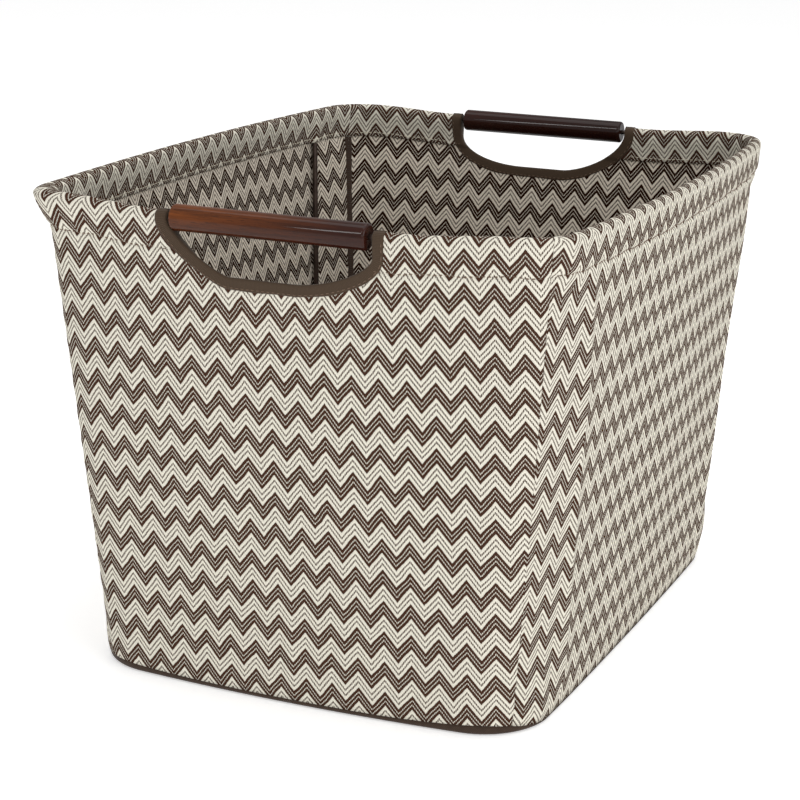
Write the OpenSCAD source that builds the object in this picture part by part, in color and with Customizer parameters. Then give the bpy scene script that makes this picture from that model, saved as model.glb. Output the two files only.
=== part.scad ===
// Soft-sided storage bin: a patterned fabric bag on a wire rim, with two round wooden
// grips that turn on the rim wire. Millimetres, +Z up, origin at the middle of the underside.
// The front is -Y. The grips are on the two short sides.

/* [Overall] */
// Height of the rim wire's centre above the floor
rim_height = 307.4; // [240:0.2:380]
// Length of the rim along Y, between the middles of the two grips
rim_length = 468; // [390:1:570]
// Width of the rim along X, between the wire's centres at mid side
rim_width = 360; // [300:1:440]
// Length of the underside along Y
floor_length = 425; // [350:1:510]
// Width of the underside along X
floor_width = 309.4; // [250:0.2:375]

/* [Rim wire] */
// Diameter of the steel rim wire
wire_d = 3; // [2.5:0.1:4]
// Radius of the wire's corner bends
wire_corner_r = 30.5; // [22:0.5:40]
// How far the wire turns between a grip and its corner bend, in degrees
end_bow = 11; // [6:0.5:14]
// How far the wire turns from mid side to its corner bend, in degrees
side_bow = 5.4; // [3:0.2:8]
// Length of the crimped sleeve that joins the wire's ends
ferrule_length = 22; // [12:1:40]
// Wall of the crimped sleeve
ferrule_wall = 0.35; // [0.3:0.05:0.5]

/* [Underside outline] */
// Radius of the underside's corners
floor_corner_r = 46; // [34:1:60]
// How far the underside's short edges turn from middle to corner, in degrees
floor_end_bow = 5; // [2:0.5:8]
// How far the underside's long edges turn from middle to corner, in degrees
floor_side_bow = 0.9; // [0.5:0.1:3]

/* [Grips] */
// Diameter of a grip
grip_d = 16; // [12:0.5:20]
// Length of a grip
grip_length = 127; // [90:1:160]
// Running clearance between a grip's bore and the wire, on the radius
bore_clearance = 0.1; // [0.02:0.01:0.1]
// Chamfer at a grip's ends
grip_chamfer = 1.6; // [0.5:0.1:3]
// Sideways place of both grips and their notches
grip_shift = -5; // [-10:1:10]

/* [Fabric] */
// Thickness of the wall fabric
fabric_t = 1.6; // [1:0.1:2]
// Gap between the wire and the hem that folds over it
hem_gap = 0.85; // [0.75:0.05:1.6]
// Depth of the folded hem below the wire's centre
hem_depth = 19; // [14:1:30]
// How much higher the hem stands at the corners than at the grips
corner_lift = 3.4; // [0:0.2:6]
// Height of the seam that joins the walls to the underside
base_seam_z = 4.5; // [4.5:0.1:8]
// Width of the overcast seam allowance inside each corner
seam_w = 6; // [4:0.5:10]
// Thickness of that seam allowance
seam_t = 1.3; // [0.8:0.1:2]
// Clearance between that seam allowance and the wall
seam_gap = 0.3; // [0.1:0.05:0.6]

/* [Hand notches] */
// Space between a grip's end and the bound edge of its notch
notch_end_gap = 3; // [2:0.5:6]
// How far the bound edge runs straight down on the notch's steep side, the right one from outside
notch_steep_side = 12; // [8:1:16]
// How far it runs straight down on the notch's slanting side
notch_slant_side = 2; // [1:1:8]
// Depth of the notch below the wire
notch_depth = 31; // [26:1:40]
// Width of the notch's two rounded lower corners
notch_corner = 50; // [30:1:52]
// Width of the binding tape that shows on each face
tape_w = 7.5; // [5:0.5:10]
// How far the binding tape stands proud of the fabric
tape_t = 0.6; // [0.4:0.1:1]

/* [Floor and uprights] */
// Thickness of the underside fabric
base_t = 1.5; // [1:0.1:2]
// Thickness of the stiff floor board
board_t = 3; // [2:0.1:4]
// Thickness of the lining over the board
lining_t = 1.2; // [0.8:0.1:2]
// Gap all round the board
board_gap = 0.6; // [0.4:0.1:2]
// Diameter of a corner upright
upright_d = 4; // [3:0.1:4]
// Clearance round the ends and the outer side of an upright
upright_gap = 0.3; // [0.2:0.05:0.5]

/* [Hidden] */
$fn = 48;

wire_r = wire_d / 2;
// The hem's fold: inner and outer radius round the wire. It clears the wire, the uprights and
// the wire's sleeve, where the lifted wall leans in, with HEM_ROOM for the flats of the fold
HEM_ROOM = 0.35;
wall_lean = abs(rim_width - floor_width) / 2 / rim_height;
sleeve_room = wire_r + ferrule_wall + HEM_ROOM + wall_lean * corner_lift;
hem_in = max(wire_r + hem_gap, sleeve_room, upright_d / 2 + upright_gap);
hem_out = hem_in + fabric_t;
notch_half = grip_length / 2 + notch_end_gap;
// The wire is straight through both grips and notches, with room for the tape
straight_half = notch_half + tape_w + abs(grip_shift);
board_z = base_t;
lining_z = board_z + board_t;
floor_z = lining_z + lining_t;
board_inset = base_t + board_gap;

// Places round a quarter of the outline: 0 mid end, 1 straight stretch ends, 2 end arc ends,
// 3 corner bend ends, 4 mid side
SEAM_U = 2.5;
UPRIGHT_U = 3.12;
END_STEPS = 3;
CORNER_STEPS = 4;
SIDE_STEPS = 6;
FOLD_STEPS = 4;
// How full the notch's lower corners are, against a quarter ellipse
STEEP_FULLNESS = 0.9;
SLANT_FULLNESS = 0.72;
// The bent wire's sides and steps, its lap inside the straight bar and its small inset there
WIRE_SIDES = 8;
WIRE_CORNER_STEPS = 8;
WIRE_LAP = 1;
WIRE_INSET = 0.05;
// Wall quarters, as signs of X and Y
FRONT_RIGHT = [1, -1];
BACK_RIGHT = [1, 1];
BACK_LEFT = [-1, 1];
FRONT_LEFT = [-1, -1];

CREAM = [0.86, 0.84, 0.77];
DARK_WOOD = [0.25, 0.11, 0.07];
BROWN_TAPE = [0.32, 0.26, 0.19];
BROWN_BASE = [0.24, 0.19, 0.15];
BRONZE_WIRE = [0.16, 0.12, 0.10];
BOARD_GREY = [0.55, 0.53, 0.48];

function mix(low, high, t) = low + (high - low) * t;
// Share of the wall's height, held at 1 above the wire
function rise(z) = min(z / rim_height, 1);
function corner_r(t, d) = mix(floor_corner_r, wire_corner_r, t) + d;
function end_angle(t) = mix(floor_end_bow, end_bow, t);
function side_angle(t) = mix(floor_side_bow, side_bow, t);
function half_x(t, d) = mix(floor_width, rim_width, t) / 2 + d;
function half_y(t, d) = mix(floor_length, rim_length, t) / 2 + d;

// The end arc's and side arc's radii past the corner bend's, which make the three arcs
// meet in line
function arc_extra(t, d) =
    let (e = end_angle(t), s = side_angle(t),
        across = half_x(t, d) - corner_r(t, d) - straight_half * t,
        along = half_y(t, d) - corner_r(t, d),
        det = sin(e) * sin(s) - (1 - cos(s)) * (1 - cos(e)))
    [(across * sin(s) - (1 - cos(s)) * along) / det,
     (along * sin(e) - (1 - cos(e)) * across) / det];

// A point of one quarter of the outline at height share t, moved outwards by d
function quarter_point(u, t, d) =
    let (x = arc_extra(t, d), r = corner_r(t, d), e = end_angle(t), s = side_angle(t),
        sh = straight_half * t,
        c = [sh + x[0] * sin(e), r + x[0] * (1 - cos(e)) - half_y(t, d)])
    u <= 1 ? [sh * u, -half_y(t, d)]
    : u <= 2 ? [sh + (x[0] + r) * sin(e * (u - 1)),
        x[0] + r - half_y(t, d) - (x[0] + r) * cos(e * (u - 1))]
    : u <= 3 ? let (g = mix(e - 90, -s, u - 2)) c + r * [cos(g), sin(g)]
    : let (g = -s * (4 - u)) [half_x(t, d) - x[1] - r + (x[1] + r) * cos(g), (x[1] + r) * sin(g)];

// A point of the wall at height z, moved outwards by d, in the quarter with signs side
function wall_point(side, u, z, d) =
    let (p = quarter_point(u, rise(z), d))
    [side[0] * p[0], -side[1] * p[1], z];

function smooth(t) = t * t * (3 - 2 * t);
// How much the hem stands up at u
function lift(u) = corner_lift * (u <= 1 ? 0 : u <= 2 ? smooth(u - 1) : 1);

// Places from mid end to the seam, and from the seam to mid side
function end_places() = concat([0],
    [for (i = [0 : END_STEPS - 1]) 1 + i / END_STEPS],
    [for (i = [0 : CORNER_STEPS]) mix(2, SEAM_U, i / CORNER_STEPS)]);
function side_places() = concat(
    [for (i = [0 : CORNER_STEPS]) mix(SEAM_U, 3, i / CORNER_STEPS)],
    [for (i = [1 : SIDE_STEPS]) 3 + i / SIDE_STEPS]);
function reversed(list) = [for (i = [len(list) - 1 : -1 : 0]) list[i]];
function without_last(list) = [for (i = [0 : len(list) - 2]) list[i]];

// A run of [side, u] stations over a whole end wall or side wall
function end_run(left, right) = concat(
    [for (u = without_last(reversed(end_places()))) [left, u]],
    [for (u = end_places()) [right, u]]);
function side_run(first, second) = concat(
    [for (u = side_places()) [first, u]],
    [for (u = reversed(without_last(side_places()))) [second, u]]);
// The whole outline at height share t, moved outwards by d
function floor_outline(t, d) =
    let (us = concat(end_places(), [for (i = [1 : len(side_places()) - 1]) side_places()[i]]),
        fr = [for (u = us) quarter_point(u, t, d)],
        back = [for (p = reversed(without_last(fr))) [p[0], -p[1]]],
        right = concat(fr, back))
    concat(right, [for (i = [len(right) - 2 : -1 : 1]) [-right[i][0], right[i][1]]]);

// The fold of the hem in section, as [height, distance outwards] pairs of radius r
function fold(r) = [for (i = [0 : FOLD_STEPS])
    [rim_height + r * sin(180 * i / FOLD_STEPS), r * cos(180 * i / FOLD_STEPS)]];
function outer_d(z) = hem_out * rise(z);
hem_foot = rim_height - hem_depth;
// The wall in section: up the outer face, over the wire, down to the hem's foot and back
WALL_SECTION = concat(
    [[base_seam_z, outer_d(base_seam_z)]],
    fold(hem_out),
    [[hem_foot, -hem_out], [hem_foot, -hem_in]],
    reversed(fold(hem_in)),
    [[base_seam_z, outer_d(base_seam_z) - fabric_t]]);
// The same section grown by the tape, with no hollow
tape_foot = rim_height - notch_depth - 2 * tape_w;
TAPE_SECTION = concat(
    [[tape_foot, outer_d(tape_foot) + tape_t]],
    fold(hem_out + tape_t),
    [[hem_foot - tape_t, -hem_out - tape_t],
     [hem_foot - tape_t, outer_d(hem_foot) - fabric_t - tape_t],
     [tape_foot, outer_d(tape_foot) - fabric_t - tape_t]]);

// A closed solid that carries a section along a run of stations. The two halves of the run are
// mirror images, so the quads are split the other way in the second one.
module swept_wall(run, section) {
    n = len(section);
    last = (len(run) - 1) * n;
    middle = (len(run) - 1) / 2;
    points = [for (s = run) for (q = section)
        wall_point(s[0], s[1], q[0], q[1]) + [0, 0, lift(s[1]) * rise(q[0])]];
    sides = [for (i = [0 : len(run) - 2]) for (j = [0 : n - 1])
        let (a = i * n + j, b = i * n + (j + 1) % n, c = b + n, d = a + n)
        each i < middle ? [[a, b, d], [b, c, d]] : [[a, b, c], [a, c, d]]];
    first_cap = [for (j = [n - 1 : -1 : 0]) j];
    last_cap = [for (j = [0 : n - 1]) last + j];
    polyhedron(points, concat(sides, [first_cap, last_cap]), convexity = 6);
}

// One rounded lower corner of the notch, grown by grow: side is where it leaves the straight
// edge, and a fullness of 1 is a full quarter ellipse
function notch_corner_curve(side, fullness, grow) =
    let (wide = notch_corner + grow, tall = notch_depth + grow - side, flat = notch_half - notch_corner)
    [for (a = [0 : 10 : 90])
        [flat + wide * pow(cos(a), 1 / fullness), -side - tall * pow(sin(a), 1 / fullness)]];

// The notch's outline below the wire, grown by grow, steep side at +X
function notch_outline(grow) =
    let (half = notch_half + grow, top = 2 * hem_out,
        steep = notch_corner_curve(notch_steep_side, STEEP_FULLNESS, grow),
        slant = notch_corner_curve(notch_slant_side, SLANT_FULLNESS, grow))
    concat([[half, top]], steep, [for (p = reversed(slant)) [-p[0], p[1]]], [[-half, top]]);

// The notch as a block that runs through the end wall on the side of sign_y
module notch_block(sign_y, grow) {
    through = 4 * hem_out;
    translate([grip_shift, sign_y * rim_length / 2, rim_height])
        rotate([90, 0, sign_y > 0 ? 180 : 0])
        linear_extrude(2 * through, center = true) polygon(notch_outline(grow));
}

// Half of the wire's bent length, from the front straight round to the back one
function wire_path() =
    let (us = concat([for (i = [0 : END_STEPS - 1]) 1 + i / END_STEPS],
            [for (i = [0 : WIRE_CORNER_STEPS - 1]) 2 + i / WIRE_CORNER_STEPS],
            [for (i = [0 : SIDE_STEPS]) 3 + i / SIDE_STEPS]),
        front = [for (u = us) quarter_point(u, 1, 0)],
        start = [straight_half - WIRE_LAP, -rim_length / 2],
        half = concat([start], front))
    concat(half, [for (p = reversed(without_last(half))) [p[0], -p[1]]]);

// A closed solid of WIRE_SIDES sides that follows the bent wire
module wire_bend() {
    path = wire_path();
    last = len(path) - 1;
    r = wire_r - WIRE_INSET;
    points = [for (i = [0 : last])
        let (run = path[min(i + 1, last)] - path[max(i - 1, 0)],
            way = (i == 0 ? [1, 0] : i == last ? [-1, 0] : run / norm(run)))
        for (j = [0 : WIRE_SIDES - 1]) let (g = 360 * (j + 0.5) / WIRE_SIDES)
            [path[i][0] + r * cos(g) * way[1], path[i][1] - r * cos(g) * way[0], rim_height + r * sin(g)]];
    sides = [for (i = [0 : last - 1]) for (j = [0 : WIRE_SIDES - 1]) let (k = (j + 1) % WIRE_SIDES)
        each [[i * WIRE_SIDES + j, i * WIRE_SIDES + k, (i + 1) * WIRE_SIDES + j],
            [i * WIRE_SIDES + k, (i + 1) * WIRE_SIDES + k, (i + 1) * WIRE_SIDES + j]]];
    first_cap = [for (j = [WIRE_SIDES - 1 : -1 : 0]) j];
    last_cap = [for (j = [0 : WIRE_SIDES - 1]) last * WIRE_SIDES + j];
    polyhedron(points, concat(sides, [first_cap, last_cap]), convexity = 4);
}

// The rim wire: true round bar through both grips, bent round the two long sides
module rim_wire() {
    color(BRONZE_WIRE) union() {
        for (sign_y = [-1, 1]) translate([0, sign_y * rim_length / 2, rim_height])
            rotate([0, 90, 0]) cylinder(r = wire_r, h = 2 * straight_half, center = true);
        wire_bend();
        mirror([1, 0, 0]) wire_bend();
    }
}

// The crimped sleeve at the middle of the right side
module rim_wire_ferrule() {
    color(BRONZE_WIRE) translate([rim_width / 2, 0, rim_height]) rotate([90, 0, 0]) difference() {
        cylinder(r = wire_r + ferrule_wall + bore_clearance / 2, h = ferrule_length, center = true);
        cylinder(r = wire_r + bore_clearance / 2, h = ferrule_length + 1, center = true);
    }
}

// A round grip with chamfered ends, bored from end to end
module grip(sign_y) {
    r = grip_d / 2;
    bore_r = wire_r + bore_clearance;
    half = grip_length / 2;
    translate([grip_shift, sign_y * rim_length / 2, rim_height]) rotate([0, 90, 0])
        rotate_extrude() polygon([[bore_r, -half], [r - grip_chamfer, -half], [r, grip_chamfer - half],
            [r, half - grip_chamfer], [r - grip_chamfer, half], [bore_r, half]]);
}
module handle_front() { color(DARK_WOOD) grip(-1); }
module handle_back() { color(DARK_WOOD) grip(1); }

// A straight upright from the floor lining to just under the rim wire
module upright(side) {
    r = upright_d / 2;
    foot = wall_point(side, UPRIGHT_U, floor_z + upright_gap, -fabric_t - upright_gap - r);
    head = wall_point(side, UPRIGHT_U, rim_height - wire_r - upright_gap - r,
        min(0, hem_in - upright_gap - r));
    span = head - foot;
    color(BRONZE_WIRE) translate(foot)
        rotate([0, acos(span[2] / norm(span)), atan2(span[1], span[0])])
        union() {
            cylinder(r = r, h = norm(span));
            translate([0, 0, norm(span)]) sphere(r = r);
        }
}
module upright_front_right() { upright(FRONT_RIGHT); }
module upright_back_right() { upright(BACK_RIGHT); }
module upright_back_left() { upright(BACK_LEFT); }
module upright_front_left() { upright(FRONT_LEFT); }

// An end wall with its hem, cut away for the notch and its binding
module end_panel(left, right) {
    color(CREAM) difference() {
        swept_wall(end_run(left, right), WALL_SECTION);
        notch_block(right[1], tape_w);
    }
}
module side_panel(first, second) {
    color(CREAM) swept_wall(side_run(first, second), WALL_SECTION);
}
module front_panel() { end_panel(FRONT_LEFT, FRONT_RIGHT); }
module right_panel() { side_panel(FRONT_RIGHT, BACK_RIGHT); }
module back_panel() { end_panel(BACK_RIGHT, BACK_LEFT); }
module left_panel() { side_panel(BACK_LEFT, FRONT_LEFT); }

// The tape round a notch's edge, with the wire passing through its two ends
module notch_binding(left, right) {
    sign_y = right[1];
    color(BROWN_TAPE) difference() {
        intersection() {
            swept_wall(end_run(left, right), TAPE_SECTION);
            notch_block(sign_y, tape_w);
        }
        notch_block(sign_y, 0);
        translate([0, sign_y * rim_length / 2, rim_height]) rotate([0, 90, 0])
            cylinder(r = wire_r + bore_clearance, h = rim_width, center = true);
    }
}
module front_notch_binding() { notch_binding(FRONT_LEFT, FRONT_RIGHT); }
module back_notch_binding() { notch_binding(BACK_RIGHT, BACK_LEFT); }

// A point at inset inside the outer face, on the straight line that the wall's cloth follows
// from the floor to the wire at u
function wall_face(side, u, z, inset) =
    let (k = (z - base_seam_z) / (rim_height - base_seam_z),
        low = wall_point(side, u, base_seam_z, outer_d(base_seam_z) - inset),
        high = wall_point(side, u, rim_height, hem_out - inset))
    mix(low, high, k) + [0, 0, lift(u) * mix(rise(base_seam_z), 1, k)];

// The overcast seam allowance that lies flat against the wall's facets inside a corner
module corner_seam(side) {
    low = floor_z + upright_gap;
    high = hem_foot - seam_t;
    inner = [fabric_t + seam_gap, fabric_t + seam_gap + seam_t];
    turn = seam_w / wire_corner_r / (PI / 180) / (90 - end_bow - side_bow);
    facet = (3 - SEAM_U) / CORNER_STEPS;
    ends = [[low, inner[0]], [high, inner[0]], [high, inner[1]], [low, inner[1]]];
    points = [for (e = [-1, 0, 1]) for (q = ends)
        mix(wall_face(side, SEAM_U, q[0], q[1]), wall_face(side, SEAM_U + e * facet, q[0], q[1]),
            turn / 2 / facet)];
    skin = [for (i = [0, 1]) for (j = [0 : 3]) let (k = (j + 1) % 4)
        each [[i * 4 + j, i * 4 + k, i * 4 + 4 + j], [i * 4 + k, i * 4 + 4 + k, i * 4 + 4 + j]]];
    faces = concat(skin, [[3, 2, 1, 0], [8, 9, 10, 11]]);
    flipped = side[0] * side[1] > 0;
    color(BROWN_TAPE) polyhedron(points, flipped ? [for (f = faces) reversed(f)] : faces);
}
module corner_seam_front_right() { corner_seam(FRONT_RIGHT); }
module corner_seam_back_right() { corner_seam(BACK_RIGHT); }
module corner_seam_back_left() { corner_seam(BACK_LEFT); }
module corner_seam_front_left() { corner_seam(FRONT_LEFT); }

// The underside: a shallow tray of brown fabric, sewn to the walls along its edge
module base_fabric() {
    color(BROWN_BASE) difference() {
        linear_extrude(base_seam_z) polygon(floor_outline(0, 0));
        translate([0, 0, base_t]) linear_extrude(base_seam_z) polygon(floor_outline(0, -base_t));
    }
}
module floor_board() {
    color(BOARD_GREY) translate([0, 0, board_z])
        linear_extrude(board_t) polygon(floor_outline(0, -board_inset));
}
module floor_lining() {
    color(BROWN_BASE) translate([0, 0, lining_z])
        linear_extrude(lining_t) polygon(floor_outline(0, -board_inset));
}

rim_wire();
rim_wire_ferrule();
handle_front();
handle_back();
upright_front_right();
upright_back_right();
upright_back_left();
upright_front_left();
front_panel();
right_panel();
back_panel();
left_panel();
front_notch_binding();
back_notch_binding();
corner_seam_front_right();
corner_seam_back_right();
corner_seam_back_left();
corner_seam_front_left();
base_fabric();
floor_board();
floor_lining();
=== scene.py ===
import math

import bmesh
import bpy
import numpy as np
from mathutils import Matrix, Vector


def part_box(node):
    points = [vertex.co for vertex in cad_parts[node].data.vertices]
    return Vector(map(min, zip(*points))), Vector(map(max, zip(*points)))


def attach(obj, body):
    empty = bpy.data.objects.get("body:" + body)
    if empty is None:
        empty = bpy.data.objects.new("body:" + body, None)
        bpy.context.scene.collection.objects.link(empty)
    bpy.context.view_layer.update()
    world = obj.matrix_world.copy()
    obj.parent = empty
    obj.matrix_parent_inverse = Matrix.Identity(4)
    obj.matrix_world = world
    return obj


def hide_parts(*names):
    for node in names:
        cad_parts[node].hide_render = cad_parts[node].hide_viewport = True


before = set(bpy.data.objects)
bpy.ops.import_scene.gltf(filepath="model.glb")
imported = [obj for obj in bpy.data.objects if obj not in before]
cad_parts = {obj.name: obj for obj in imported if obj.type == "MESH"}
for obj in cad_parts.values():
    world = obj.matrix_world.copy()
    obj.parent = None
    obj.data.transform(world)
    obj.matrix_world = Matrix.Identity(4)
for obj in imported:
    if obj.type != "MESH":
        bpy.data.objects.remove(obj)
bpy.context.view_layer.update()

bl_info = {
    "name": "Fabric Storage Bin",
    "version": (1, 0, 0),
    "blender": (4, 5, 0),
    "location": "3D View > Sidebar > Bin",
    "description": "Builds the cloth, bindings, stitching and grips of a fabric storage bin",
    "category": "Add Mesh",
}

WIRE_LOW, WIRE_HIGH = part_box("rim_wire")
GRIP_LOW, GRIP_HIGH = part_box("handle_front")
LINING_LOW, LINING_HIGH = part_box("floor_lining")

MM = 0.001

# Places round a quarter of the outline: 0 mid end, 1 the straight stretch ends, 2 the end arc
# ends, 3 the corner bend ends, 4 mid side. The corner seam and the upright's crease lie between.
SEAM_U = 2.5
CREASE_U = 3.12

# Cloth and yarn
YARN_PITCH = 0.98 * MM
WEAVE_PITCH = 0.7 * MM
TAPE_RIB = 0.85 * MM
WALL_SLOPE = 1.004          # length down a leaning wall for each metre of height

# Binding tape and its stitches
TAPE_ROUNDING = 1.4 * MM
TAPE_STEP = 1.4 * MM
NOTCH_INSET = 1.6 * MM      # the cloth ends this far inside its binding
TAPE_STITCH_PITCH = 3.4 * MM
TAPE_STITCH_SHARE = 0.72    # of the pitch that a stitch covers
TAB_GAP = 1.0 * MM
TAB_STEP = 2.6 * MM
TAB_STITCH = 2.0 * MM

# Hem stitches
HEM_STITCH_PITCH = 3.6 * MM
HEM_STITCH = 2.6 * MM

# Overcast corner seams
SEAM_SPREAD = 0.02          # half the step of u over which a seam's direction is taken
SEAM_BEAT = 1.35 * MM
OVERCAST_PITCH = 1.7 * MM
OVERCAST_RUN = 1.2 * MM

# The camera: place in metres, turns in radians
CAMERA_PLACE = (0.55870, -1.35598, 0.55005)
CAMERA_YAW, CAMERA_PITCH, CAMERA_ROLL = 0.40358, 0.26901, 0.02027

# Each wall: whether it is a short end, its first and second quarter as signs of X and Y,
# counter-clockwise from above, where its zigzag starts, as shares of one zigzag across and of
# one repeat down, and the height of its rows as a share of the usual
WALLS = {
    "front_panel": {"end": True, "quarters": ((-1, -1), (1, -1)), "start": (0.83, 0.065), "rows": 1.0},
    "right_panel": {"end": False, "quarters": ((1, -1), (1, 1)), "start": (0.83, 0.065), "rows": 0.975},
    "back_panel": {"end": True, "quarters": ((1, 1), (-1, 1)), "start": (0.83, 0.265), "rows": 1.0},
    "left_panel": {"end": False, "quarters": ((-1, 1), (-1, -1)), "start": (0.83, 0.065), "rows": 1.0},
}

# Each wall's own turn of the cloth's soft waves
WAVE_TURNS = {"front_panel": 0.4, "right_panel": 1.9, "back_panel": 3.1, "left_panel": 4.6}

# The notch's lower corners seen from outside, right side first: straight drop, width and
# fullness of the curve, where 1 is a quarter ellipse
NOTCHES = {
    "front": {"sign": -1, "depth": 32.5 * MM,
              "right": (12 * MM, 50 * MM, 0.8), "left": (2 * MM, 40 * MM, 0.65)},
    "back": {"sign": 1, "depth": 33 * MM,
             "right": (12.5 * MM, 50 * MM, 1.0), "left": (2 * MM, 50 * MM, 0.8)},
}


def mix(low, high, share):
    """Low at share 0, high at share 1."""
    return low + (high - low) * share


def smooth(share):
    """Eases from 0 to 1 while share goes from 0 to 1, and stays there."""
    share = np.clip(share, 0, 1)
    return share * share * (3 - 2 * share)


def bell(distance, width):
    """1 at no distance, falling off over width."""
    return np.exp(-((distance / width) ** 2))


def length(name, default, text, low=0.0, high=1.0):
    return bpy.props.FloatProperty(
        name=name, default=default, description=text, min=low, max=high,
        unit="LENGTH", subtype="DISTANCE", precision=4)


def angle(name, degrees, text):
    return bpy.props.FloatProperty(
        name=name, default=math.radians(degrees), description=text,
        min=0.0, max=math.radians(30), subtype="ANGLE")


def share_of(name, default, text, low=0.0, high=2.0):
    return bpy.props.FloatProperty(name=name, default=default, description=text, min=low, max=high)


def power(name, default, text):
    return bpy.props.FloatProperty(name=name, default=default, description=text, min=0.0, unit="POWER")


def colour(name, default, text):
    return bpy.props.FloatVectorProperty(
        name=name, default=default, description=text, subtype="COLOR", size=3, min=0.0, max=1.0)


class BinShape(bpy.types.PropertyGroup):
    rim_height: length("Rim height", (WIRE_LOW.z + WIRE_HIGH.z) / 2, "Height of the rim wire's centre")
    rim_length: length("Rim length", 0.468, "Between the wire's centres, front to back")
    rim_width: length("Rim width", 0.360, "Between the wire's centres, side to side")
    floor_length: length("Floor length", 0.425, "Underside, front to back")
    floor_width: length("Floor width", 0.3094, "Underside, side to side")
    rim_corner: length("Rim corner", 0.0305, "Radius of the rim's corners")
    floor_corner: length("Floor corner", 0.046, "Radius of the underside's corners")
    rim_end_bow: angle("Rim end bow", 11.0, "Turn of the rim between grip and corner")
    rim_side_bow: angle("Rim side bow", 5.4, "Turn of the rim between mid side and corner")
    floor_end_bow: angle("Floor end bow", 5.0, "Turn of the underside's short edge")
    floor_side_bow: angle("Floor side bow", 0.9, "Turn of the underside's long edge")
    straight_half: length("Straight half", 0.079, "Half of the rim's straight stretch at a grip")
    cloth: length("Cloth thickness", 0.0016, "Thickness of the wall cloth", 0.0005, 0.004)
    hem_radius: length("Hem radius", 0.00395, "Outer radius of the hem's roll over the wire")
    hem_depth: length("Hem depth", 0.019, "Hem stitch line below the wire")
    corner_lift: length("Corner lift", 0.0034, "How much higher the hem stands at the corners")
    notch_half: length("Notch half width", 0.0665, "From the notch's middle to its bound edge")
    notch_shift: bpy.props.FloatProperty(
        name="Notch shift", default=(GRIP_LOW.x + GRIP_HIGH.x) / 2, unit="LENGTH", subtype="DISTANCE",
        description="Sideways place of the grips and notches")
    tape_width: length("Tape width", 0.0075, "Width of the binding tape on each face")
    tape_thick: length("Tape thickness", 0.0006, "How far the tape stands proud")


class BinCloth(bpy.types.PropertyGroup):
    zigzag_width: length("Zigzag width", 0.01758, "Width of one zigzag", 0.004, 0.08)
    zigzag_repeat: length("Zigzag repeat", 0.0204, "Height of one dark and one light band", 0.004, 0.08)
    zigzag_rise: share_of("Zigzag rise", 0.54, "Peak to valley as a share of the repeat")
    dark_share: share_of("Dark share", 0.47, "Share of the repeat that is dark", 0.1, 0.9)
    fine_line: share_of("Fine line", 0.15, "Thickness of the dotted lines as a share of a band")
    light_yarn: colour("Light yarn", (0.80, 0.762, 0.655), "Cream yarn of the zigzag")
    dark_yarn: colour("Dark yarn", (0.058, 0.028, 0.018), "Dark brown yarn of the zigzag")
    # Painted shade: both reverse tints darken the yarns of the walls' inner face.
    reverse_shade_tint: colour("Reverse tint", (1.0, 0.945, 0.93), "How the light yarn changes on the reverse")
    reverse_dark_shade_tint: colour("Reverse dark tint", (0.38, 0.26, 0.16), "How the dark yarn changes there")
    tape: colour("Tape", (0.062, 0.039, 0.023), "Olive brown binding tape")
    thread: colour("Thread", (0.16, 0.10, 0.065), "Sewing thread")
    light_thread: colour("Light thread", (0.62, 0.57, 0.45), "Light sewing thread inside the hem")
    overcast: colour("Overcast thread", (0.045, 0.028, 0.02), "Thread of the overcast seams")
    underside: colour("Underside", (0.050, 0.031, 0.021), "Plain dark brown cloth")


class BinHardware(bpy.types.PropertyGroup):
    grip_radius: length("Grip radius", (GRIP_HIGH.z - GRIP_LOW.z) / 2, "Radius of a grip")
    grip_half: length("Grip half length", (GRIP_HIGH.x - GRIP_LOW.x) / 2, "Half the length of a grip")
    bore_radius: length("Bore radius", 0.0016, "Radius of the hole through a grip")
    end_rounding: length("End rounding", 0.0016, "Rounding at a grip's ends")
    # Painted light: this paler colour is blended onto the grip along its top and towards its left end.
    wood_lit: colour("Pale wood", (0.33, 0.085, 0.012), "Stained hardwood where the stain is thin")
    wood: colour("Wood", (0.052, 0.011, 0.005), "Stained hardwood")
    # Painted shade: the back grip, which lies in shade, gets this darker copy of the wood.
    wood_painted_shade: colour("Dark wood", (0.022, 0.005, 0.003), "Stained hardwood of the darker grip")
    wood_grain: colour("Wood grain", (0.012, 0.004, 0.003), "Darker grain lines")
    wire: colour("Wire coating", (0.045, 0.030, 0.024), "Dark bronze coating")
    board: colour("Board", (0.35, 0.30, 0.24), "Stiff floor board")


class BinStage(bpy.types.PropertyGroup):
    floor: colour("Floor", (0.93, 0.93, 0.93), "Plain pale floor")
    floor_glow: share_of("Floor glow", 0.40, "Light that the floor itself gives")
    surround: share_of("Surround", 0.60, "Soft light from all round")
    key_power: power("Key light", 30.0, "Large soft light at the right")
    top_power: power("Top light", 24.0, "Large soft light overhead")
    strip_power: power("Strip lights", 3.0, "Narrow lights that draw lines on the grips")
    lens: bpy.props.FloatProperty(
        name="Lens", default=98.47, min=10.0, description="Focal length in millimetres")


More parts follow.
